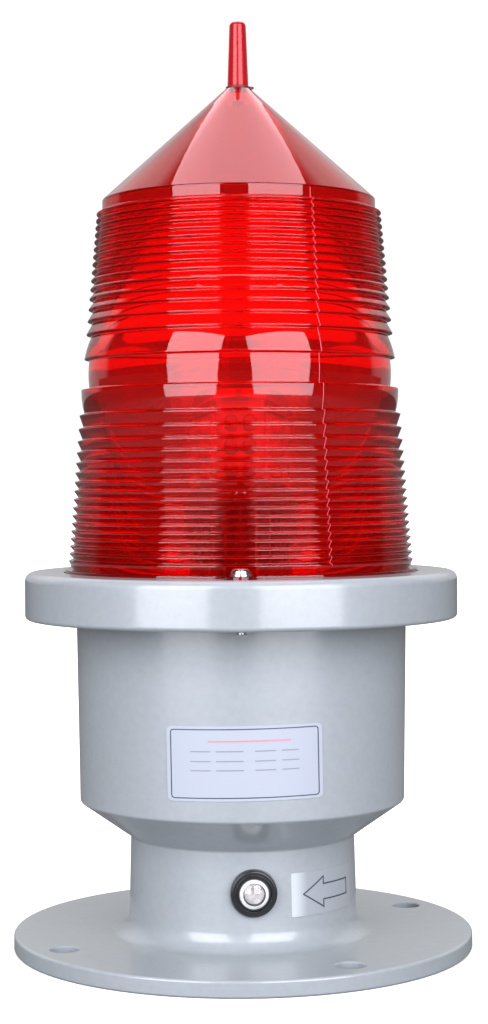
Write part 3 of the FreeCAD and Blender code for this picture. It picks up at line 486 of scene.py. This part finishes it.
# %% Pieces from shapes
def mesh_object(name, *shapes):
    """One object from one or more shapes."""
    whole = bmesh.new()
    for shape in shapes:
        mesh = bpy.data.meshes.new(name)
        shape.to_mesh(mesh)
        shape.free()
        whole.from_mesh(mesh)
        bpy.data.meshes.remove(mesh)
    mesh = bpy.data.meshes.new(name)
    whole.to_mesh(mesh)
    whole.free()
    made = bpy.data.objects.new(name, mesh)
    scene.collection.objects.link(made)
    return made


def carve(target, operation, *shapes):
    """Cut shapes out of a piece, or join them to it."""
    tool = mesh_object("tool", *shapes)
    step = target.modifiers.new("carve", "BOOLEAN")
    step.operation = operation
    step.solver = "EXACT"
    step.object = tool
    bpy.context.view_layer.update()
    result = target.evaluated_get(bpy.context.evaluated_depsgraph_get())
    mesh = bpy.data.meshes.new_from_object(result)
    target.modifiers.clear()
    old = target.data
    target.data = mesh
    bpy.data.meshes.remove(old)
    bpy.data.objects.remove(tool)


def dress(piece, material, body, replaced=(), angle=32):
    """Shade a piece, give it its finish and its body, and hide the nodes that it stands for."""
    mesh = piece.data
    mesh.materials.clear()
    mesh.materials.append(material)
    for polygon in mesh.polygons:
        polygon.use_smooth = True
        polygon.material_index = 0
    mesh.set_sharp_from_angle(angle=math.radians(angle))
    even = piece.modifiers.new("even", "WEIGHTED_NORMAL")
    even.keep_sharp = True
    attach(piece, body)
    if replaced:
        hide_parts(*replaced)
    print(piece.name, len(mesh.polygons), "faces")
    return piece


def hole(radius, low, high, flare=0.5):
    """Cutter for an upright hole whose two edges are slightly broken."""
    out = flare + 1
    return spun([(0, low - 1, 0), (radius + out, low - 1, 0), (radius, low + flare, 0),
                 (radius, high - flare, 0), (radius + out, high + 1, 0), (0, high + 1, 0)], 48)


# %% [markdown]
# ## Housing
#
# One casting makes the foot flange, the pedestal tube, the bowl and the rim. It could be
# lofted from circles, but a casting like this is designed as a turned outline with draft
# on every wall, so the same is done here. Corners that a mould can't make sharp are round.

# %% Turned casting
mouth = 74.5
foot_radius = 110
foot_thickness = 8
foot_fillet = 9.0
tube_foot_radius = 54.9
tube_bore = 49.0
rim_radius = 103.9
rim_bottom = 157.5
rim_top = 180
recess_radius = 85.2
recess_floor = 177.5
floor_bottom = 54
gland_radius = 10.25
screw_circle = 91.0
screw_count = 3
front = -90
bowl_foot = (53.8, 53.5)
bowl_side = (78.0, 70.5)
bowl_top = (79.3, 157.5)
wall = 5.0
floor_top = 60.0
run = bowl_side[0] - bowl_foot[0]
rise = bowl_side[1] - bowl_foot[1]
slant = math.hypot(run, rise)
inner_radius = bowl_foot[0] - wall * rise / slant
inner_height = bowl_foot[1] + wall * run / slant
floor_radius = inner_radius + (floor_top - inner_height) * run / rise
side_height = inner_height + (bowl_side[0] - wall - inner_radius) * rise / run

casting = spun([(tube_bore, 0, 0.8), (foot_radius, 0, 1.3), (foot_radius, foot_thickness, 1.3),
                (tube_foot_radius, foot_thickness, foot_fillet), (*bowl_foot, 1.6),
                (*bowl_side, 1.6), (*bowl_top, 1.4), (rim_radius, rim_bottom, 2.0),
                (rim_radius, rim_top, 4.0), (recess_radius, rim_top, 0.5),
                (recess_radius, recess_floor, 0), (mouth, recess_floor, 0.4),
                (mouth, rim_bottom, 0), (bowl_side[0] - wall, side_height, 5.0),
                (floor_radius, floor_top, 5.0), (gland_radius, floor_top, 0.5),
                (gland_radius, floor_bottom, 0), (tube_bore, floor_bottom, 3.0)],
               turns=192, steps=6)
housing = mesh_object("housing", casting)
print("bowl floor radius", round(floor_radius, 1), "mm")

# %% [markdown]
# Three bosses stand on the inside of the bowl and carry the chassis plate. Each is a
# round post with a web to the wall, and a pointed foot that lets it leave the mould.

# %% Bosses
boss_circle = 65
boss_count = 3
boss_foot = 116


def boss():
    return prism([(59.5, -5.5, 5.49), (75.5, -5.5, 0), (75.5, 5.5, 0), (59.5, 5.5, 5.49)],
                 boss_foot, 148, 10)


def boss_point():
    low, high = boss_foot - 11, boss_foot + 0.4
    return moved(spun([(0, low, 0), (0.5, low, 0), (5.4, high, 0), (0, high, 0)], 40),
                 x=boss_circle)


carve(housing, "UNION", *around(boss, boss_count, 0))
carve(housing, "UNION", *around(boss_point, boss_count, 0))

# %% [markdown]
# The drilled features come last, as on the real casting: four bolt holes in the foot, a
# pocket and a tapped hole for each lens screw, the sensor's hole with its flat, and the
# holes for the chassis screws, the wires and the earth screw.

# %% Holes
bolt_circle = 95
sensor_angle = -84.8
sensor_height = 34.6
sensor_seat = 53.1


def plain_hole(radius, low, high, sides=32):
    """Cutter for an upright hole with sharp edges."""
    return spun([(0, low, 0), (radius, low, 0), (radius, high, 0), (0, high, 0)], sides)


def bolt_hole():
    return moved(hole(6.8, 0, foot_thickness), x=bolt_circle)


def ear_pocket():
    return prism([(80, -7.5, 0), (98.5, -7.5, 7.49), (98.5, 7.5, 7.49), (80, 7.5, 0)],
                 recess_floor, rim_top + 3, 12)


def tapped_hole():
    return moved(hole(2.55, rim_bottom, recess_floor, 0.3), x=screw_circle)


def boss_hole():
    return moved(plain_hole(2.05, 132, 149), x=boss_circle)


sensor_hole = facing_out(spun([(0, 40, 0), (9.25, 40, 0), (9.25, sensor_seat, 0),
                               (11.1, sensor_seat, 0), (11.1, 66, 0), (0, 66, 0)], 64),
                         sensor_angle, sensor_height)
grommet_hole = turned(moved(hole(4.5, floor_bottom, floor_top, 0.3), x=26), sensor_angle)
earth_hole = turned(moved(plain_hole(2.55, 55, 61), x=34), 150)
carve(housing, "DIFFERENCE", *around(bolt_hole, 4, 30),
      *around(ear_pocket, screw_count, front))
carve(housing, "DIFFERENCE", *around(tapped_hole, screw_count, front),
      *around(boss_hole, boss_count, 0), sensor_hole, grommet_hole, earth_hole)
dress(housing, enamel, "housing", ["housing_casting"])

# %% [markdown]
# ## Lens
#
# The lens is moulded. Two wide prism rings flank a plain belt, and fine ribs run down to
# the foot and up to the shoulder, closer and closer together. Each rib has a flat side
# towards the belt. A moulded tip is never sharp: its small round catches one thin bright
# line, and the round in the groove catches a dimmer one, so both are modelled.

# %% Rib heights
foot_bottom = 179.0
foot_top = 181.2
foot_edge = 84.7
rib_depth = 2.3
rib_rise = 0.7
low_wide = 267.1
low_wide_radius = 76.3
lowest_radius = 82.7
high_wide = 281.7
high_wide_radius = 74.7
highest_radius = 68.5


def rib_tips(first, count, pitch, last_pitch, fade, direction):
    """Heights of rib tips, with a pitch that shrinks away from the belt."""
    heights = [first]
    for index in range(count - 1):
        heights.append(heights[-1] + direction * pitch)
        pitch = last_pitch + (pitch - last_pitch) * fade
    return heights


low_tips = rib_tips(low_wide - 12.1, 17, 6.5, 3.4, 0.80, -1)
high_tips = rib_tips(high_wide + 11.7, 15, 6.4, 3.25, 0.75, 1)
print("lowest tip", round(low_tips[-1], 1), "highest tip", round(high_tips[-1], 1))

# %% [markdown]
# Each tip ends in an upright land, under half a millimetre wide, with rounded edges. The
# land faces the soft boxes and gives the bright line. Rounding pulls a corner in a
# little, so the land is drawn a little further out than the rib reaches.

# %% Lens outline
tip_land = 0.42
tip_round = 0.16
tip_reach = 0.06
root_round = 0.4
upper_round = 0.22

low_slope = (lowest_radius - low_wide_radius) / (low_wide - low_tips[-1])
low_ribs = []
for height in reversed([low_wide] + low_tips):
    tip = low_wide_radius + (low_wide - height) * low_slope
    if height == low_wide:
        low_ribs.append((76.55, 260.6, 40.0))
    low_ribs += [(tip + tip_reach, height - tip_land, tip_round),
                 (tip + tip_reach, height, tip_round),
                 (tip - rib_depth, height + rib_rise, root_round)]
high_slope = (high_wide_radius - highest_radius) / (high_tips[-1] - high_wide)
high_ribs = [(73.8, 287.2, 40.0)]
for height in high_tips:
    tip = high_wide_radius - (height - high_wide) * high_slope
    high_ribs += [(tip - rib_depth, height - rib_rise, root_round),
                  (tip + tip_reach, height, upper_round),
                  (tip + tip_reach, height + tip_land, upper_round)]

cone_slope = math.radians(41.9)
cone_rise = math.tan(cone_slope)
shoulder = 358.1
neck_radius = 65.8
neck_bore = 62.8
rib_bore = 69.5
foot_bore = 77.4
apex_radius = 6.1
spike_bore = 3.05
apex = 412.27
ceiling = apex - 3.0 / math.cos(cone_slope)
bore_shoulder = ceiling - (neck_bore - apex_radius) * cone_rise
root = lowest_radius - rib_depth
belt_radius = 72.5
upper_tip = high_wide_radius + tip_reach

foot = [(root, foot_bottom, 0), (foot_edge, foot_bottom, 0.4), (foot_edge, foot_top, 0.4),
        (root + 0.6, foot_top, 0)]
belt = [(belt_radius, low_wide + 0.5, 0.5), (73.1, 274.4, 40.0),
        (belt_radius, high_wide - 0.5, 0.5), (upper_tip, high_wide, upper_round),
        (upper_tip, high_wide + tip_land, upper_round)]
crown = [(neck_radius, high_tips[-1] + 1.5, 0.5), (neck_radius, shoulder, 0.8),
         (apex_radius, apex, 0.5)]
outside = foot + low_ribs[:-1] + belt + high_ribs + crown + [(spike_bore, apex, 0)]
inside = [(spike_bore, ceiling, 0), (apex_radius, ceiling, 0), (neck_bore, bore_shoulder, 1.0),
          (neck_bore, 350.7, 6.0), (rib_bore, high_wide, 10.0), (rib_bore, low_wide, 10.0),
          (foot_bore, 185.6, 6.0), (foot_bore, foot_bottom, 0)]
lens = mesh_object("lens", spun(outside + inside, turns=192, steps=3))
print("apex", round(apex, 2), "mm")

# %% [markdown]
# The mould closes along a line, which leaves a hair of flash from foot to shoulder. It is a
# thin slice of the same outline, grown by less than a tenth of a millimetre and joined to
# the lens.

# %% Mould seam, ears and holes
seam_angle = -60.3
seam_height = 0.08
seam_width = 0.22
seam = []
for radius, height, rounding in low_ribs[:-1] + belt + high_ribs + crown[:1]:
    seam.append((radius + seam_height, height, rounding))
seam += [(neck_radius + seam_height, shoulder - 1, 0), (64.0, shoulder - 2, 0),
         (70.9, high_wide, 0), (70.9, low_wide, 0), (79.2, 183.0, 0)]
ridge = turned(pushed(moved(outline(seam, 3), y=-seam_width / 2), (0, seam_width, 0)),
               seam_angle)


def ear():
    return prism([(83.5, -7, 0), (98, -7, 6.99), (98, 7, 6.99), (83.5, 7, 0)],
                 foot_bottom, foot_top, 12)


def ear_hole():
    return moved(hole(2.75, foot_bottom, foot_top, 0.1), x=screw_circle)


carve(lens, "UNION", *around(ear, screw_count, front))
carve(lens, "UNION", ridge)
carve(lens, "DIFFERENCE", *around(ear_hole, screw_count, front))
dress(lens, red_plastic, "lens", ["lens_dome"], angle=50)

# %% [markdown]
# The flash is dull plastic, and it is painted pale as a painted highlight, so it shows as a
# fine light line. Its faces are the only ones that lie wholly within a hair of the seam's plane.

# %% Flash with a painted highlight
# Pale colour on the seam: a painted highlight along the flash.
seam_highlight_paint, shader = finish("seam_painted_highlight", (0.62, 0.10, 0.13), 0.5)
dent(seam_highlight_paint, shader, mottle(seam_highlight_paint, 2500), 0.00005)
lens.data.materials.append(seam_highlight_paint)
seam_turn = math.radians(seam_angle)
across_seam = Vector((-math.sin(seam_turn), math.cos(seam_turn), 0))
seam_reach = 0.16 * MM
seam_faces = 0
for polygon in lens.data.polygons:
    spots = [lens.data.vertices[index].co for index in polygon.vertices]
    near = all(abs(spot.dot(across_seam)) < seam_reach for spot in spots)
    if near and polygon.center.x > 0:
        polygon.material_index = 1
        seam_faces += 1
print("faces on the seam:", seam_faces)

# %% [markdown]
# ## Lens screws and washers
#
# Three pan-head screws clamp the lens. The front one shows its head on the rim and its
# end below the rim. A true helix would be lost at this size, so the thread is a stack of
# ring grooves at the thread's pitch, which catches the light in the same way.

# %% Screws
seat = foot_top + 1.0
screw_end = rim_bottom - 2.4
pitch = 0.8


def screw_outline():
    """Half section of a lens screw, from its end up to its domed head."""
    corners = [(0, screw_end, 0), (2.0, screw_end, 0), (2.45, screw_end + 0.5, 0)]
    height = screw_end + 0.6
    while height < seat - pitch:
        corners += [(2.1, height + pitch / 2, 0), (2.48, height + pitch * 0.9, 0)]
        height += pitch
    return corners + [(2.48, seat, 0), (4.4, seat, 0.15), (4.4, seat + 2.6, 2.0),
                      (0, seat + 2.6, 0)]


for index in range(screw_count):
    angle = front + 360 / screw_count * index
    screw = mesh_object(f"lens_screw_dressed_{index + 1}",
                        turned(moved(spun(screw_outline(), 40), x=screw_circle), angle))
    slots = [turned(moved(turned(plate_of(5.2, 1.3, seat + 1.3, seat + 4), 45 + 90 * arm),
                          x=screw_circle), angle) for arm in range(2)]
    for slot in slots:
        carve(screw, "DIFFERENCE", slot)
    dress(screw, screw_steel, f"screw_{index + 1}", [f"lens_screw_{index + 1}"])
    washer = spun([(2.75, foot_top, 0.1), (5.0, foot_top, 0.2), (5.0, seat, 0.2),
                   (2.75, seat, 0.1)], 48)
    washer = mesh_object(f"washer_dressed_{index + 1}",
                         turned(moved(washer, x=screw_circle), angle))
    dress(washer, screw_steel, f"washer_{index + 1}",
          [f"flat_washer_{index + 1}"])

# %% [markdown]
# ## Daylight sensor
#
# The sensor looks out of the pedestal tube through a small glass dome in a black bush.
# The bush is turned with a raised lip round its mouth, and the lip and the round outer
# edge each show as a thin grey ring against the black.

# %% Sensor bush
sensor_front = sensor_seat + 4.2
bush = spun([(7.9, 36, 0.3), (9.0, 36, 0.6), (9.0, sensor_seat, 0), (10.7, sensor_seat, 0.2),
             (10.7, sensor_front - 0.3, 0.9), (8.75, sensor_front - 0.3, 0.1),
             (8.6, sensor_front, 0.12), (8.1, sensor_front, 0.12),
             (7.9, sensor_front - 0.6, 0)], 96, 5)
bush = mesh_object("sensor_bush", facing_out(bush, sensor_angle, sensor_height))
dress(bush, black_plastic, "housing", ["photocell_bush"])

# %% [markdown]
# The glass is clear in the middle and milky at its edge, where it's fused to the ring,
# and the ring is dark outside. Both patterns follow the distance from the sensor's axis,
# so a Mapping node first moves the object coordinates to the sensor.

# %% Sensor glass and ring
def off_axis(material):
    """Distance from the sensor's axis, in metres."""
    coordinates = add(material, "ShaderNodeTexCoord")
    local = add(material, "ShaderNodeMapping", vector_type="TEXTURE",
                Location=(0, 0, sensor_height * MM), Rotation=(0, 0, math.radians(sensor_angle)))
    across = add(material, "ShaderNodeVectorMath", operation="MULTIPLY")
    across.inputs[1].default_value = (0, 1, 1)
    length = add(material, "ShaderNodeVectorMath", operation="LENGTH")
    wire(material, coordinates.outputs["Object"], local.inputs["Vector"])
    wire(material, local.outputs["Vector"], across.inputs[0])
    wire(material, across.outputs["Vector"], length.inputs[0])
    return length.outputs["Value"]


def between(material, value, low, high, at_low, at_high):
    """A value mapped softly from one range to another."""
    spread = add(material, "ShaderNodeMapRange", interpolation_type="SMOOTHSTEP", From_Min=low,
                 From_Max=high, To_Min=at_low, To_Max=at_high)
    wire(material, value, spread.inputs["Value"])
    return spread.outputs["Result"]


sensor_glass, shader = finish("sensor_glass", (0.93, 0.93, 0.94), 0.05)
shader.inputs["IOR"].default_value = 1.5
clear = between(sensor_glass, off_axis(sensor_glass), 5.0 * MM, 5.5 * MM, 0.97, 0.25)
wire(sensor_glass, clear, shader.inputs["Transmission Weight"])

sensor_ring, shader = finish("sensor_ring", (0.1, 0.1, 0.1), 0.35, 0.6)
shade = between(sensor_ring, off_axis(sensor_ring), 6.6 * MM, 7.0 * MM, 0.0, 1.0)
tint(sensor_ring, shader, shade, (0.45, 0.45, 0.46), (0.02, 0.02, 0.02))

sensor_plate, shader = finish("sensor_plate", (0.7, 0.66, 0.64), 0.35)
tint(sensor_plate, shader, mottle(sensor_plate, 330, 2),
     (0.22, 0.18, 0.18), (0.66, 0.62, 0.61))
dent(sensor_plate, shader, mottle(sensor_plate, 400), 0.0001)

for name, material in (("photocell_dome", sensor_glass), ("photocell_rim", sensor_ring),
                       ("photocell_cell", sensor_plate)):
    give(name, material)

# %% [markdown]
# ## Rating plate and sticker
#
# The plate is printed film, stuck to the bowl. Its outline is drawn flat, cut into narrow
# columns and bent round the bowl, so it lies on the curve. The printed lines are thin
# skins a few hundredths of a millimetre above it: a border, and rules where a plate of
# this kind has its fields. The rules are blank.

# %% Wrapping a flat shape
def strips(shape, step):
    """Cut a flat XZ shape into narrow columns, so that it can bend."""
    reach = 40
    count = int(2 * reach / step)
    for index in range(1, count):
        place_x = (-reach + index * step) * MM
        bmesh.ops.bisect_plane(shape, geom=shape.verts[:] + shape.edges[:] + shape.faces[:],
                               dist=1e-8, plane_co=(place_x, 0, 0), plane_no=(1, 0, 0))
    return shape


def wrapped(shape, radius_at, low, high, height, tilt, turn):
    """Skin between two lifts over a turned wall, from a flat XZ shape about its centre."""
    turned(strips(shape, 2.0), tilt, "Y")
    moved(shape, z=height)
    top = bmesh.ops.extrude_face_region(shape, geom=shape.faces[:])["geom"]
    raised = {part for part in top if isinstance(part, bmesh.types.BMVert)}
    for vertex in shape.verts:
        lift = high if vertex in raised else low
        reach = (radius_at(vertex.co.z / MM) + lift) * MM
        vertex.co.y = -math.sqrt(reach ** 2 - vertex.co.x ** 2)
    bmesh.ops.recalc_face_normals(shape, faces=shape.faces)
    return turned(shape, turn)


def bowl_radius(height):
    share = (height - bowl_side[1]) / (bowl_top[1] - bowl_side[1])
    return bowl_side[0] + (bowl_top[0] - bowl_side[0]) * share


def tube_radius(height):
    share = (height - foot_thickness) / (bowl_foot[1] - foot_thickness)
    return tube_foot_radius + (bowl_foot[0] - tube_foot_radius) * share


# %% Flat shapes
def sheet(width, length, rounding, x=0.0, z=0.0):
    """Flat rounded rectangle in the XZ plane."""
    w, h = width / 2, length / 2
    return outline([(x - w, z - h, rounding), (x + w, z - h, rounding),
                    (x + w, z + h, rounding), (x - w, z + h, rounding)], 6)


def border(shape, line):
    """Keep only a line of that width inside the edge of a flat shape."""
    middle = shape.faces[:]
    bmesh.ops.inset_region(shape, faces=middle, thickness=line * MM, use_even_offset=True,
                           use_boundary=True)
    bmesh.ops.delete(shape, geom=middle, context="FACES")
    return shape


# %% Plate
plate_height = 97.2
plate_tilt = -0.8
plate_turn = 1.0


def on_bowl(shape, low, high):
    """Flat shape at the plate's place on the bowl, between two lifts."""
    return wrapped(shape, bowl_radius, low, high, plate_height, plate_tilt, plate_turn)


def printed(name, material, *shapes):
    """Thin lines of ink on the plate."""
    lines = mesh_object(name, *[on_bowl(shape, 0.29, 0.34) for shape in shapes])
    dress(lines, material, "housing")


plate = mesh_object("plate_film", on_bowl(sheet(70, 33.6, 2.2), 0.05, 0.30))
dress(plate, film, "housing", ["rating_plate"])
printed("plate_border", dark_ink, border(sheet(66.8, 31.2, 1.6), 0.5))

rules = []
for rule_height in (5.5, 1.1, -3.0):
    for start, end in ((-24.5, -15.5), (-13.0, -0.7), (4.5, 13.9), (16.6, 24.3)):
        rules.append(sheet(end - start, 0.5, 0, (start + end) / 2, rule_height))
printed("plate_rules", grey_ink, *rules)
printed("plate_heading", red_ink, sheet(37.3, 0.8, 0, 2.05, 10.0))

# %% [markdown]
# The sticker on the tube has one outline arrow that points to the sensor. Its film is
# nearly the colour of the enamel, with a painted highlight on its end nearer the front.

# %% Sticker
sticker_height = 32.6
sticker_turn = 45.7
arrow = outline([(-14.8, 0, 0.3), (-2.1, -7.6, 0.2), (-2.1, -3.9, 0), (16.1, -3.9, 0.2),
                 (16.1, 3.9, 0.2), (-2.1, 3.9, 0), (-2.1, 7.6, 0.2)])
arrow = mesh_object("sticker_arrow", wrapped(border(arrow, 0.65), tube_radius, 0.34, 0.40,
                                             sticker_height, 0, sticker_turn))
dress(arrow, dark_ink, "housing")

# %% [markdown]
# ## Floor
#
# The photograph has no horizon: floor and backdrop are one white. Here the floor is pale
# and matt near the lamp, where it catches the soft shadow of the foot, and it begins to
# glow with distance, so it joins the white room behind without a line. Other rays see it
# dim, which keeps its light out of the lens and off the underside of the bowl.

# %% Floor
ground_shape = bmesh.new()
bmesh.ops.create_grid(ground_shape, x_segments=1, y_segments=1, size=40)
ground = mesh_object("floor", ground_shape)
pale_floor, shader = finish("pale_floor", (0.80, 0.80, 0.80), 0.7)
tint(pale_floor, shader, mottle(pale_floor, 3), (0.79, 0.79, 0.79), (0.81, 0.81, 0.81))
coordinates = add(pale_floor, "ShaderNodeTexCoord")
distance = add(pale_floor, "ShaderNodeVectorMath", operation="LENGTH")
wire(pale_floor, coordinates.outputs["Object"], distance.inputs[0])
glow = add(pale_floor, "ShaderNodeMapRange", From_Min=0.10, From_Max=0.9,
           To_Min=0.25, To_Max=1.1)
wire(pale_floor, distance.outputs["Value"], glow.inputs["Value"])
rays = add(pale_floor, "ShaderNodeLightPath")
clear_view = add(pale_floor, "ShaderNodeMath", operation="MAXIMUM")
wire(pale_floor, rays.outputs["Is Camera Ray"], clear_view.inputs[0])
wire(pale_floor, rays.outputs["Is Transmission Ray"], clear_view.inputs[1])
shown = add(pale_floor, "ShaderNodeMath", operation="MULTIPLY")
wire(pale_floor, glow.outputs["Result"], shown.inputs[0])
wire(pale_floor, clear_view.outputs["Value"], shown.inputs[1])
wire(pale_floor, shown.outputs["Value"], shader.inputs["Emission Strength"])
shader.inputs["Emission Color"].default_value = (1, 1, 1, 1)
dim = add(pale_floor, "ShaderNodeBsdfDiffuse", Color=(0.16, 0.16, 0.16, 1))
either = add(pale_floor, "ShaderNodeMixShader")
wire(pale_floor, clear_view.outputs["Value"], either.inputs["Fac"])
wire(pale_floor, dim.outputs["BSDF"], either.inputs[1])
wire(pale_floor, shader.outputs["BSDF"], either.inputs[2])
floor_output = pale_floor.node_tree.nodes["Material Output"]
wire(pale_floor, either.outputs["Shader"], floor_output.inputs["Surface"])
ground.data.materials.append(pale_floor)
